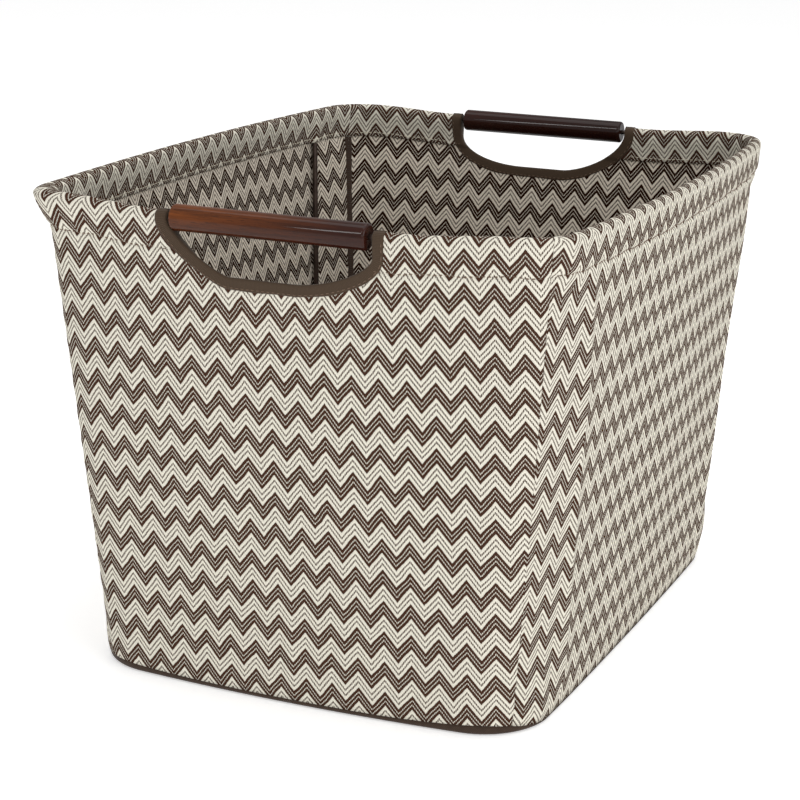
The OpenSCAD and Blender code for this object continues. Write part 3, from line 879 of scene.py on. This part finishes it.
def cut_notch(piece, shape, notch):
    """Cuts the hand notch out of an end wall, a little inside its binding."""
    line, _ = even_line(notch_line(shape, notch, NOTCH_INSET), 1.5 * MM)
    line = np.concatenate([line, [[line[-1, 0], 20 * MM], [line[0, 0], 20 * MM]]])
    sign = notch["sign"]
    x = shape.notch_shift - sign * line[:, 0]
    z = shape.rim_height + line[:, 1]
    near, far = sign * (shape.rim_length / 2 - 30 * MM), sign * (shape.rim_length / 2 + 30 * MM)
    points = np.stack([np.stack([x, np.full_like(x, near), z], axis=1),
                       np.stack([x, np.full_like(x, far), z], axis=1)])
    mesh = grid_mesh("notch_cutter", points)
    cutter = bpy.data.objects.new("notch_cutter", mesh)
    bpy.context.scene.collection.objects.link(cutter)
    change = piece.modifiers.new("notch", "BOOLEAN")
    change.operation = "DIFFERENCE"
    change.solver = "EXACT"
    change.object = cutter
    seen = bpy.context.evaluated_depsgraph_get()
    made = bpy.data.meshes.new_from_object(piece.evaluated_get(seen))
    if len(made.polygons) < 1000:
        raise RuntimeError(f"the notch cut failed on {piece.name}")
    piece.modifiers.clear()
    piece.data = made
    bpy.data.objects.remove(cutter)


def wall_area(wall):
    """The flat size of a wall's cloth: its width at the rim, its height with the hem, and its
    area."""
    shape = wall.form.shape
    wide = np.ptp(wall.rim_arc)
    low = np.ptp(wall.arc(np.array([5 * MM]))[:, 0])
    tall = shape.rim_height + shape.hem_depth + math.pi * shape.hem_radius
    return wide, tall, (wide + low) / 2 * shape.rim_height + wide * (tall - shape.rim_height)


class BIN_OT_wall_panels(bpy.types.Operator):
    """Make the four walls of zigzag cloth, each with its hem rolled over the rim wire"""

    bl_idname = "bin.wall_panels"
    bl_label = "Wall panels"

    def execute(self, context):
        shape = context.scene.bin_shape
        cloth = context.scene.bin_cloth
        form = WallForm(shape)
        for key, facts in WALLS.items():
            wall = Wall(form, key)
            parts = wall_rows(wall)
            points = np.concatenate([wall.place(z, out, more) for z, out, more, _, _ in parts], axis=1)
            heights = np.concatenate([z[wall.middle] for z, *_ in parts])
            arcs = wall.arc(heights) + facts["start"][0] * cloth.zigzag_width
            down = np.concatenate([v for *_, v, _ in parts], axis=1) / facts["rows"]
            down = down + facts["start"][1] * cloth.zigzag_repeat
            finish_down = np.concatenate([[kind] * z.shape[1] for z, *_, kind in parts])
            finish_down[-1] = 1
            mesh = grid_mesh(key + "_cloth", points, np.stack([arcs, down], axis=2),
                             finish_down=finish_down)
            # Slot 1, the walls' inner face, takes the darkened copy of the cloth: painted shade.
            mesh.materials.append(finish("zigzag_cloth"))
            mesh.materials.append(finish("zigzag_cloth_reverse_shaded"))
            piece = new_object(key + "_cloth", mesh, replaced=(key,))
            if facts["end"]:
                cut_notch(piece, shape, NOTCHES[key.split("_")[0]])
            wide, tall, area = wall_area(wall)
            print(f"sheet {key}: {wide:.4f} x {tall:.4f}, area {area:.4f}")
        return {"FINISHED"}


def tape_section(shape):
    """Half the tape's section, from its sewn edge to its fold at the notch's edge, as pairs of
    distance from the notch's edge and how far it stands proud of the wall."""
    width, thick, rounding = shape.tape_width, shape.tape_thick, TAPE_ROUNDING
    outer = [(width, -0.4 * MM), (width - 0.05 * MM, thick * 0.6), (width - 0.5 * MM, thick),
             (width * 0.7, thick * 1.1), (width * 0.45, thick * 1.15), (rounding, thick)]
    turns = np.radians([20, 40, 60, 80])
    bend = [(rounding * (1 - math.sin(t)), thick - rounding * (1 - math.cos(t))) for t in turns]
    return outer + bend


class BIN_OT_notch_bindings(bpy.types.Operator):
    """Bind the two hand notches with ribbed tape, sewn through at the hem"""

    bl_idname = "bin.notch_bindings"
    bl_label = "Notch bindings"

    def execute(self, context):
        shape = context.scene.bin_shape
        form = WallForm(shape)
        outline = form.outline
        for side, notch in NOTCHES.items():
            sign = notch["sign"]
            line, run = even_line(notch_line(shape, notch), TAPE_STEP)
            along = np.gradient(line, axis=0)
            for _ in range(6):
                along[1:-1] = (along[:-2] + 2 * along[1:-1] + along[2:]) / 4
            along /= np.linalg.norm(along, axis=1, keepdims=True)
            away = np.stack([along[:, 1], -along[:, 0]], axis=1)
            section = tape_section(shape)
            wander = 0.25 * MM * np.sin(run / (9 * MM)) + 0.15 * MM * np.sin(run / (3.7 * MM))
            columns, places = [], []
            back = [(2.4 * MM, -0.1 * MM), (1.3 * MM, -0.1 * MM)]
            for face, part in ((1, section), (-1, section[::-1] + back), (1, back[::-1])):
                for from_edge, proud in part:
                    wide = from_edge * (1 + wander / shape.tape_width)
                    x = line[:, 0] + away[:, 0] * wide
                    z = np.minimum(line[:, 1] + away[:, 1] * wide, shape.hem_radius + shape.tape_thick)
                    height = z + shape.rim_height
                    if face > 0:
                        out = form.outer(height, max(proud, 0.0)) + min(proud, 0.0)
                    else:
                        out = form.inner(height, max(proud, 0.0)) - min(proud, 0.0)
                    world_x = shape.notch_shift - sign * x
                    y = outline.end_wall_y(world_x, form.share(height), out)
                    columns.append(np.stack([world_x, sign * y, height], axis=1))
                    over = np.full_like(run, face * (from_edge + TAPE_ROUNDING))
                    places.append(np.stack([run, over], axis=1))
            points = np.stack(columns, axis=1)
            mesh = grid_mesh(side + "_notch_tape", points, np.stack(places, axis=1), uv_name="Tape")
            mesh.materials.append(finish("ribbed_tape"))
            piece = new_object(side + "_notch_tape", mesh,
                               replaced=(side + "_notch_binding",))
            stitches = self.stitching(form, side, notch, line, away, run)
        return {"FINISHED"}

    def stitching(self, form, side, notch, line, away, run):
        """The row of stitches along the tape's sewn edge, on both faces, and two beside each end."""
        shape, sign = form.shape, notch["sign"]
        places = np.arange(8 * MM, run[-1] - 8 * MM, TAPE_STITCH_PITCH)
        starts, ends, outward = [], [], []
        from_edge = shape.tape_width - 1.3 * MM

        def on_wall(x, z, face):
            out = form.outer(z, shape.tape_thick) if face > 0 else form.inner(z, shape.tape_thick)
            y = sign * form.outline.end_wall_y(x, form.share(z), out)
            return np.stack([x, y, z], axis=1)

        def on_tape(at, face):
            x = np.interp(at, run, line[:, 0] + away[:, 0] * from_edge)
            z = np.interp(at, run, line[:, 1] + away[:, 1] * from_edge) + shape.rim_height
            return on_wall(shape.notch_shift - sign * x, z, face)

        for face in (1, -1):
            starts.append(on_tape(places, face))
            ends.append(on_tape(places + TAPE_STITCH_PITCH * TAPE_STITCH_SHARE, face))
            outward.append(np.tile([0.0, sign * face, 0.0], (len(places), 1)))
            for edge in (-1, 1):
                for shift in (0.0, TAB_STEP):
                    reach = shape.notch_half + TAB_GAP + shift
                    start_x = np.array([shape.notch_shift - sign * edge * reach])
                    z = np.array([form.stitch_z])
                    starts.append(on_wall(start_x, z, face))
                    ends.append(on_wall(start_x - sign * edge * TAB_STITCH, z, face))
                    outward.append(np.array([[0.0, sign * face, 0.0]]))
        mesh = stitch_mesh(side + "_notch_stitches", np.concatenate(starts), np.concatenate(ends),
                           np.concatenate(outward), 0.24 * MM, rise=0.12 * MM, sink=0.3 * MM)
        mesh.materials.append(finish("brown_thread"))
        return new_object(side + "_notch_stitches", mesh)


class BIN_OT_hem_stitching(bpy.types.Operator):
    """Sew the hem down with one row of stitches, seen outside and inside"""

    bl_idname = "bin.hem_stitching"
    bl_label = "Hem stitching"

    def execute(self, context):
        shape = context.scene.bin_shape
        form = WallForm(shape)
        for key, facts in WALLS.items():
            wall = Wall(form, key)
            arc = wall.rim_arc[:, None]
            z = form.stitch_z + wall.stitch_wave(arc)
            outer = wall.place(z, form.outer(z), wall.outer_folds(z))[:, 0]
            z_in = np.full_like(z, form.stitch_z + 0.8 * MM) + 0.4 * wall.stitch_wave(arc)
            inner = wall.place(z_in, form.hem_inner(z_in), wall.hem_bulge(z_in))[:, 0]
            rows = ((1, outer, "outer", "brown_thread"), (-1, inner, "inner", "light_thread"))
            for face, points, name, thread in rows:
                run = run_along(points)
                places = np.arange(HEM_STITCH_PITCH / 2, run[-1], HEM_STITCH_PITCH)
                along = np.gradient(points, axis=0)
                normal = face * np.cross(along, [0.0, 0.0, 1.0])
                normal /= np.linalg.norm(normal, axis=1, keepdims=True)
                places = places[(places > 4 * MM) & (places < run[-1] - 6 * MM)]
                starts = read_along(run, points, places)
                ends = read_along(run, points, places + HEM_STITCH)
                outward = read_along(run, normal, places)
                if facts["end"]:
                    from_notch = np.abs(starts[:, 0] + HEM_STITCH / 2 - shape.notch_shift)
                    clear = from_notch > shape.notch_half + shape.tape_width + 1.5 * MM
                    starts, ends, outward = starts[clear], ends[clear], outward[clear]
                mesh = stitch_mesh(f"{key}_{name}_hem_stitches", starts, ends, outward, 0.36 * MM)
                mesh.materials.append(finish(thread))
                new_object(f"{key}_{name}_hem_stitches", mesh)
        return {"FINISHED"}


class BIN_OT_corner_seams(bpy.types.Operator):
    """Overcast the seam allowance inside each corner"""

    bl_idname = "bin.corner_seams"
    bl_label = "Corner seams"

    def execute(self, context):
        shape = context.scene.bin_shape
        form = WallForm(shape)
        names = {"front_right": (1, -1), "back_right": (1, 1), "back_left": (-1, 1), "front_left": (-1, -1)}
        for name, (sx, sy) in names.items():
            z = np.linspace(LINING_HIGH.z + 0.5 * MM, form.foot_z - 1.0 * MM, 150)
            inner = form.outer(z) - shape.cloth
            share = form.share(z)

            def at(u, out):
                x, y = form.outline.quarter(u, share, out)
                return np.stack([sx * x, -sy * y, z + form.lift(u, z)], axis=1)

            middle = at(np.full_like(z, SEAM_U), inner)
            across = (at(np.full_like(z, SEAM_U + SEAM_SPREAD), inner)
                      - at(np.full_like(z, SEAM_U - SEAM_SPREAD), inner))
            across /= np.linalg.norm(across, axis=1, keepdims=True)
            outward = at(np.full_like(z, SEAM_U), inner + MM) - middle
            outward /= np.linalg.norm(outward, axis=1, keepdims=True)
            inward = -outward
            half = (2.7 + 0.22 * np.sin(z / SEAM_BEAT) + 0.2 * np.sin(z / (13 * MM) + sx)) * MM
            thick = (1.15 + 0.12 * np.sin(z / SEAM_BEAT + 1.0)) * MM
            turns = np.linspace(0, 2 * np.pi, 15)[:-1]
            wide = np.sign(np.cos(turns)) * np.abs(np.cos(turns)) ** 0.7
            tall = np.sign(np.sin(turns)) * np.abs(np.sin(turns)) ** 0.8
            points = (middle[:, None] + across[:, None] * (half[:, None] * wide[None])[..., None]
                      + inward[:, None] * (thick[:, None] * (tall[None] * 0.5 + 0.62))[..., None])
            place = np.broadcast_arrays(turns[None] * 1.2 * MM + sx * 4 * MM, z[:, None])
            place = np.stack(place, axis=2)
            mesh = grid_mesh(f"corner_seam_{name}_edge", points, place)
            mesh.materials.append(finish("brown_cloth"))
            new_object(f"corner_seam_{name}_edge", mesh,
                               replaced=(f"corner_seam_{name}",))
            steps = np.arange(z[0] + 2 * MM, z[-1] - 3 * MM, OVERCAST_PITCH)
            over = steps + OVERCAST_RUN
            width = np.interp(steps, z, half)[:, None] - 0.1 * MM
            raised = middle + inward * 0.55 * MM
            starts = read_along(z, raised, steps) - read_along(z, across, steps) * width
            ends = read_along(z, raised, over) + read_along(z, across, over) * width
            loops = stitch_mesh(f"corner_seam_{name}_thread", starts, ends,
                                read_along(z, inward, steps), 0.30 * MM, rise=0.75 * MM,
                                sink=0.1 * MM, rings=9)
            loops.materials.append(finish("overcast_thread"))
            new_object(f"corner_seam_{name}_thread", loops)
        return {"FINISHED"}


def full_round():
    """Stations round the whole outline, counter-clockwise from mid front, as u and two signs."""
    half = np.concatenate([np.linspace(0, 1, 11)[:-1], np.linspace(1, 2, 13)[:-1],
                           np.linspace(2, 3, 25)[:-1], np.linspace(3, 4, 31)])
    back = half[::-1]
    u = np.concatenate([half[:-1], back[:-1], half[:-1], back[:-1]])
    n = len(half) - 1
    sx = np.repeat([1.0, 1.0, -1.0, -1.0], n)
    sy = np.repeat([-1.0, 1.0, 1.0, -1.0], n)
    return u, sx, sy


def floor_ring(outline, stations, z, out):
    """Points round the underside's outline at height z, moved outwards by out."""
    u, sx, sy = stations
    x, y = outline.quarter(u, np.zeros_like(u), out)
    return np.stack([sx * x, -sy * y, np.broadcast_to(z, u.shape)], axis=1)


def close_middle(rings, steps, height_at):
    """Carries the last ring in to the middle by shrinking it."""
    last = rings[-1]
    for k in range(1, steps):
        ring = last.copy()
        ring[:, :2] *= 1 - k / steps
        ring[:, 2] = height_at(ring[:, 0], ring[:, 1], k / steps)
        rings.append(ring)
    return rings


def plate_mesh(name, lower, upper):
    """A closed plate from rings: lower ones run in from the edge, upper ones too."""
    points = np.stack(lower[::-1] + upper, axis=1)
    mesh = grid_mesh(name, points, points[..., :2], wrap_across=True, wrap_down=False)
    face_outwards(mesh, lambda edge: True)
    shade_smooth(mesh)
    return mesh


class BIN_OT_underside(bpy.types.Operator):
    """Make the underside: dark brown cloth sewn to the walls, with a softly rounded edge"""

    bl_idname = "bin.underside"
    bl_label = "Underside"

    def execute(self, context):
        shape = context.scene.bin_shape
        form = WallForm(shape)
        stations = full_round()
        edge = form.base_line(*stations)
        top = 1.4 * MM

        def ring(z, out):
            return floor_ring(form.outline, stations, z, out)

        foot = np.minimum(edge * 0.6, 2.2 * MM)
        lower = [ring(edge + 0.8 * MM, -1.4 * MM), ring(edge + 0.1 * MM, -1.25 * MM),
                 ring(edge - 0.5 * MM, -0.95 * MM), ring(mix(foot, edge, 0.3), -0.85 * MM)]
        for turn in np.radians([0, 20, 40, 60, 75, 90]):
            lower.append(ring(foot * (1 - math.sin(turn)), -0.9 * MM - 2.2 * MM * (1 - math.cos(turn))))
        lower.append(ring(0.0, -9 * MM))
        lower = close_middle(lower, 7, lambda x, y, share: 0 * x)
        upper = [ring(edge + 0.7 * MM, -1.9 * MM), ring(np.maximum(edge * 0.5, top), -2.2 * MM),
                 ring(top, -5 * MM)]
        upper = close_middle(upper, 7, lambda x, y, share: 0 * x + top)
        mesh = plate_mesh("underside_cloth", lower, upper)
        mesh.materials.append(finish("brown_cloth"))
        piece = new_object("underside_cloth", mesh, replaced=("base_fabric",))
        return {"FINISHED"}


class BIN_OT_floor_lining(bpy.types.Operator):
    """Lay the cloth lining over the stiff board inside"""

    bl_idname = "bin.floor_lining"
    bl_label = "Floor lining"

    def execute(self, context):
        shape = context.scene.bin_shape
        form = WallForm(shape)
        stations = full_round()
        top, low = LINING_HIGH.z, LINING_LOW.z

        def ring(z, out):
            return floor_ring(form.outline, stations, z, out)

        def crumple(x, y, share):
            """Soft creases, still at the lining's edge."""
            wave = (np.sin(x / 0.017 + 1.4 * np.sin(y / 0.041))
                    + np.sin(y / 0.023 + 1.1 * np.sin(x / 0.037) + 2.0)
                    + 0.6 * np.sin((x + y) / 0.012 + 0.7))
            return top - 0.1 * MM + 0.16 * MM * wave * min(1.0, 5 * share)

        out = -1.95 * MM
        lower = [ring(mix(low, top, 0.5), out), ring(low + 0.15 * MM, out - 0.15 * MM),
                 ring(low, out - 0.6 * MM)]
        lower = close_middle(lower, 6, lambda x, y, share: 0 * x + low)
        upper = [ring(top - 0.35 * MM, out - 0.05 * MM), ring(top - 0.1 * MM, out - 0.4 * MM),
                 ring(top, out - 1.0 * MM), ring(top - 0.05 * MM, out - 3.0 * MM)]
        upper = close_middle(upper, 34, crumple)
        mesh = plate_mesh("floor_lining_cloth", lower, upper)
        mesh.materials.append(finish("brown_cloth"))
        piece = new_object("floor_lining_cloth", mesh,
                           replaced=("floor_lining",))
        return {"FINISHED"}


class BIN_OT_grips(bpy.types.Operator):
    """Turn the two round wooden grips, bored for the rim wire"""

    bl_idname = "bin.grips"
    bl_label = "Grips"

    def execute(self, context):
        hardware = context.scene.bin_hardware
        radius, bore, rounding = hardware.grip_radius, hardware.bore_radius, hardware.end_rounding
        half = hardware.grip_half
        # The back grip takes the darkened copy of the wood: painted shade.
        grips = (("handle_front", "front_grip", "stained_hardwood"),
                 ("handle_back", "back_grip", "stained_hardwood_painted_shade"))
        for node, body, wood in grips:
            low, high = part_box(node)
            centre = (low + high) / 2
            turns = np.radians(np.linspace(0, 90, 6))
            edge = [(half - rounding * (1 - math.sin(t)), radius - rounding * (1 - math.cos(t)))
                    for t in turns]
            flat = [(half, mix(radius - rounding, bore, share)) for share in (0.04, 0.3, 0.6, 0.9)]
            lip = [(half - 0.15 * MM, bore + 0.05 * MM), (half - 0.6 * MM, bore)]
            body_line = [(x, radius) for x in np.linspace(0, half - rounding - 0.4 * MM, 26)]
            right = body_line + edge + flat + lip
            left = [(-x, r) for x, r in right[:0:-1]]
            bore_line = [(x, bore) for x in np.linspace(half - 3 * MM, -half + 3 * MM, 12)]
            section = np.array(right + bore_line + left)
            around = np.linspace(0, 2 * np.pi, 97)[:-1]
            x = np.broadcast_to(section[None, :, 0], (len(around), len(section)))
            y = section[None, :, 1] * np.cos(around)[:, None]
            z = section[None, :, 1] * np.sin(around)[:, None]
            points = np.stack([x, y, z], axis=2) + np.array(centre)
            mesh = grid_mesh(node + "_wood", points, wrap_across=True)
            mesh.materials.append(finish(wood))
            new_object(node + "_wood", mesh, body=body, replaced=(node,))
        return {"FINISHED"}


class BIN_OT_wire_frame(bpy.types.Operator):
    """Finish the rim wire, its sleeve, the four uprights and the floor board"""

    bl_idname = "bin.wire_frame"
    bl_label = "Wire frame and board"

    def execute(self, context):
        for name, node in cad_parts.items():
            if node.hide_render:
                continue
            kind = "pressed_board" if name == "floor_board" else "bronze_wire"
            node.data.materials.clear()
            node.data.materials.append(finish(kind))
            if kind == "bronze_wire":
                shade_smooth(node.data)
        return {"FINISHED"}


def area_light(name, place, aim, wide, tall, watts):
    data = bpy.data.lights.new(name, "AREA")
    data.shape = "RECTANGLE"
    data.size = wide
    data.size_y = tall
    data.energy = watts
    light = bpy.data.objects.new(name, data)
    light.location = place
    light.rotation_mode = "QUATERNION"
    light.rotation_quaternion = (Vector(aim) - Vector(place)).to_track_quat("-Z", "Y")
    bpy.context.scene.collection.objects.link(light)


class BIN_OT_stage(bpy.types.Operator):
    """Set the pale floor, the soft studio light and the camera"""

    bl_idname = "bin.stage"
    bl_label = "Stage"

    def execute(self, context):
        scene = context.scene
        stage = scene.bin_stage
        turns = np.linspace(0, 2 * np.pi, 49)[:-1]
        level = np.full_like(turns, -0.4 * MM)
        rings = [np.stack([reach * np.cos(turns), reach * np.sin(turns), level], axis=1)
                 for reach in (0.6, 2.0, 6.0, 14.0, 30.0)]
        mesh = grid_mesh("pale_floor", np.stack(rings, axis=1), wrap_across=True, wrap_down=False)
        face_outwards(mesh, lambda edge: all(v.co.length < 1 for v in edge.verts))
        made = Finish("pale_floor")
        made.shader.inputs["Emission Color"].default_value = (1, 1, 1, 1)
        made.shader.inputs["Emission Strength"].default_value = stage.floor_glow
        mesh.materials.append(made.set(colour=tuple(stage.floor), roughness=0.9, specular=0.1))
        floor = bpy.data.objects.new("pale_floor", mesh)
        scene.collection.objects.link(floor)

        world = bpy.data.worlds.new("soft_surround")
        world.use_nodes = True
        backdrop = world.node_tree.nodes["Background"]
        backdrop.inputs["Color"].default_value = (1, 1, 1, 1)
        backdrop.inputs["Strength"].default_value = stage.surround
        scene.world = world
        front_grip = (0, -0.23, 0.31)
        area_light("key_light", (3.0, -1.1, 1.7), (0, 0, 0.15), 2.4, 2.0, stage.key_power)
        area_light("top_light", (0.2, 0.3, 2.6), (0, 0, 0.2), 2.6, 2.6, stage.top_power)
        area_light("upper_strip", (-0.9, -2.0, 1.9), front_grip, 0.08, 1.4, stage.strip_power)
        area_light("middle_strip", (0.3, -2.4, 0.95), front_grip, 1.6, 0.06, stage.strip_power)

        scene.view_settings.view_transform = "Standard"
        data = bpy.data.cameras.new("camera")
        data.sensor_width = 36.0
        data.lens = stage.lens
        data.clip_start, data.clip_end = 0.05, 100.0
        camera = bpy.data.objects.new("camera", data)
        yaw, pitch, roll = CAMERA_YAW, CAMERA_PITCH, CAMERA_ROLL
        level = math.cos(pitch)
        ahead = Vector((-math.sin(yaw) * level, math.cos(yaw) * level, -math.sin(pitch)))
        right = Vector((math.cos(yaw), math.sin(yaw), 0.0))
        up = right.cross(ahead)
        turned_right = math.cos(roll) * right + math.sin(roll) * up
        turned_up = -math.sin(roll) * right + math.cos(roll) * up
        turn = Matrix((turned_right, turned_up, -ahead)).transposed()
        camera.rotation_mode = "QUATERNION"
        camera.rotation_quaternion = turn.to_quaternion()
        camera.location = CAMERA_PLACE
        scene.collection.objects.link(camera)
        scene.camera = camera
        return {"FINISHED"}


OPERATORS = (BIN_OT_wall_panels, BIN_OT_notch_bindings, BIN_OT_hem_stitching, BIN_OT_corner_seams,
             BIN_OT_underside, BIN_OT_floor_lining, BIN_OT_grips, BIN_OT_wire_frame, BIN_OT_stage)
GROUPS = ("bin_shape", "bin_cloth", "bin_hardware", "bin_stage")


class VIEW3D_PT_storage_bin(bpy.types.Panel):
    """Sizes, colours and pieces of the storage bin"""

    bl_label = "Fabric storage bin"
    bl_idname = "VIEW3D_PT_storage_bin"
    bl_space_type = "VIEW_3D"
    bl_region_type = "UI"
    bl_category = "Bin"

    def draw(self, context):
        for made in OPERATORS:
            self.layout.operator(made.bl_idname)
        for group in GROUPS:
            settings = getattr(context.scene, group)
            box = self.layout.box()
            for name in settings.__annotations__:
                box.prop(settings, name)


CLASSES = (BinShape, BinCloth, BinHardware, BinStage, *OPERATORS, VIEW3D_PT_storage_bin)


def register():
    for made in CLASSES:
        bpy.utils.register_class(made)
    bpy.types.Scene.bin_shape = bpy.props.PointerProperty(type=BinShape)
    bpy.types.Scene.bin_cloth = bpy.props.PointerProperty(type=BinCloth)
    bpy.types.Scene.bin_hardware = bpy.props.PointerProperty(type=BinHardware)
    bpy.types.Scene.bin_stage = bpy.props.PointerProperty(type=BinStage)


def unregister():
    for name in GROUPS:
        delattr(bpy.types.Scene, name)
    for made in reversed(CLASSES):
        bpy.utils.unregister_class(made)


def main():
    register()
    for made in OPERATORS:
        group, name = made.bl_idname.split(".")
        getattr(getattr(bpy.ops, group), name)()


if __name__ == "__main__":
    main()
